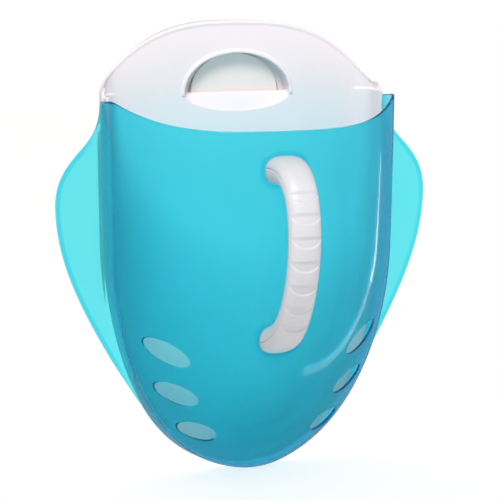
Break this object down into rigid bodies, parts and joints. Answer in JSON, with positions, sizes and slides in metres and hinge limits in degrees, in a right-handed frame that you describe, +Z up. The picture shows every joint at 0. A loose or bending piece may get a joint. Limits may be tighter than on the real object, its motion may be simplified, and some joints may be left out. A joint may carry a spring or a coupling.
{
  "type": "bath toy organizer",
  "caption": "Translucent wall-hung bath toy scoop with side fins, drain holes, a white arched back panel and a front grip, hooked on an adhesive wall bracket so that it lifts off.",
  "frame": {"origin": "middle of the adhesive pad's wall face, behind the hanging opening", "axes": "+Z up along the wall, +Y into the wall, so the scoop and its handle stand out along -Y; +X to the viewer's right"},
  "size_m": [0.3128, 0.1936, 0.3704],
  "materials": {
    "aqua_plastic": "clear tinted, polished",
    "white_plastic": "satin gloss",
    "bracket_plastic": "satin",
    "foam_tape": "matte foam",
    "screw_steel": "satin"
  },
  "bodies": {
    "bracket": {"wall_bracket": "bracket_plastic", "adhesive_pad": "foam_tape"},
    "scoop": {"scoop_shell": "aqua_plastic", "back_panel": "white_plastic", "handle_front": "white_plastic", "handle_back": "white_plastic", "handle_screw_upper": "screw_steel", "handle_screw_lower": "screw_steel"}
  },
  "joints": [
    {"name": "lift_off", "type": "slide", "parent": "bracket", "child": "scoop", "axis": [0, 0, 1], "range_m": [0, 0.06]}
  ]
}
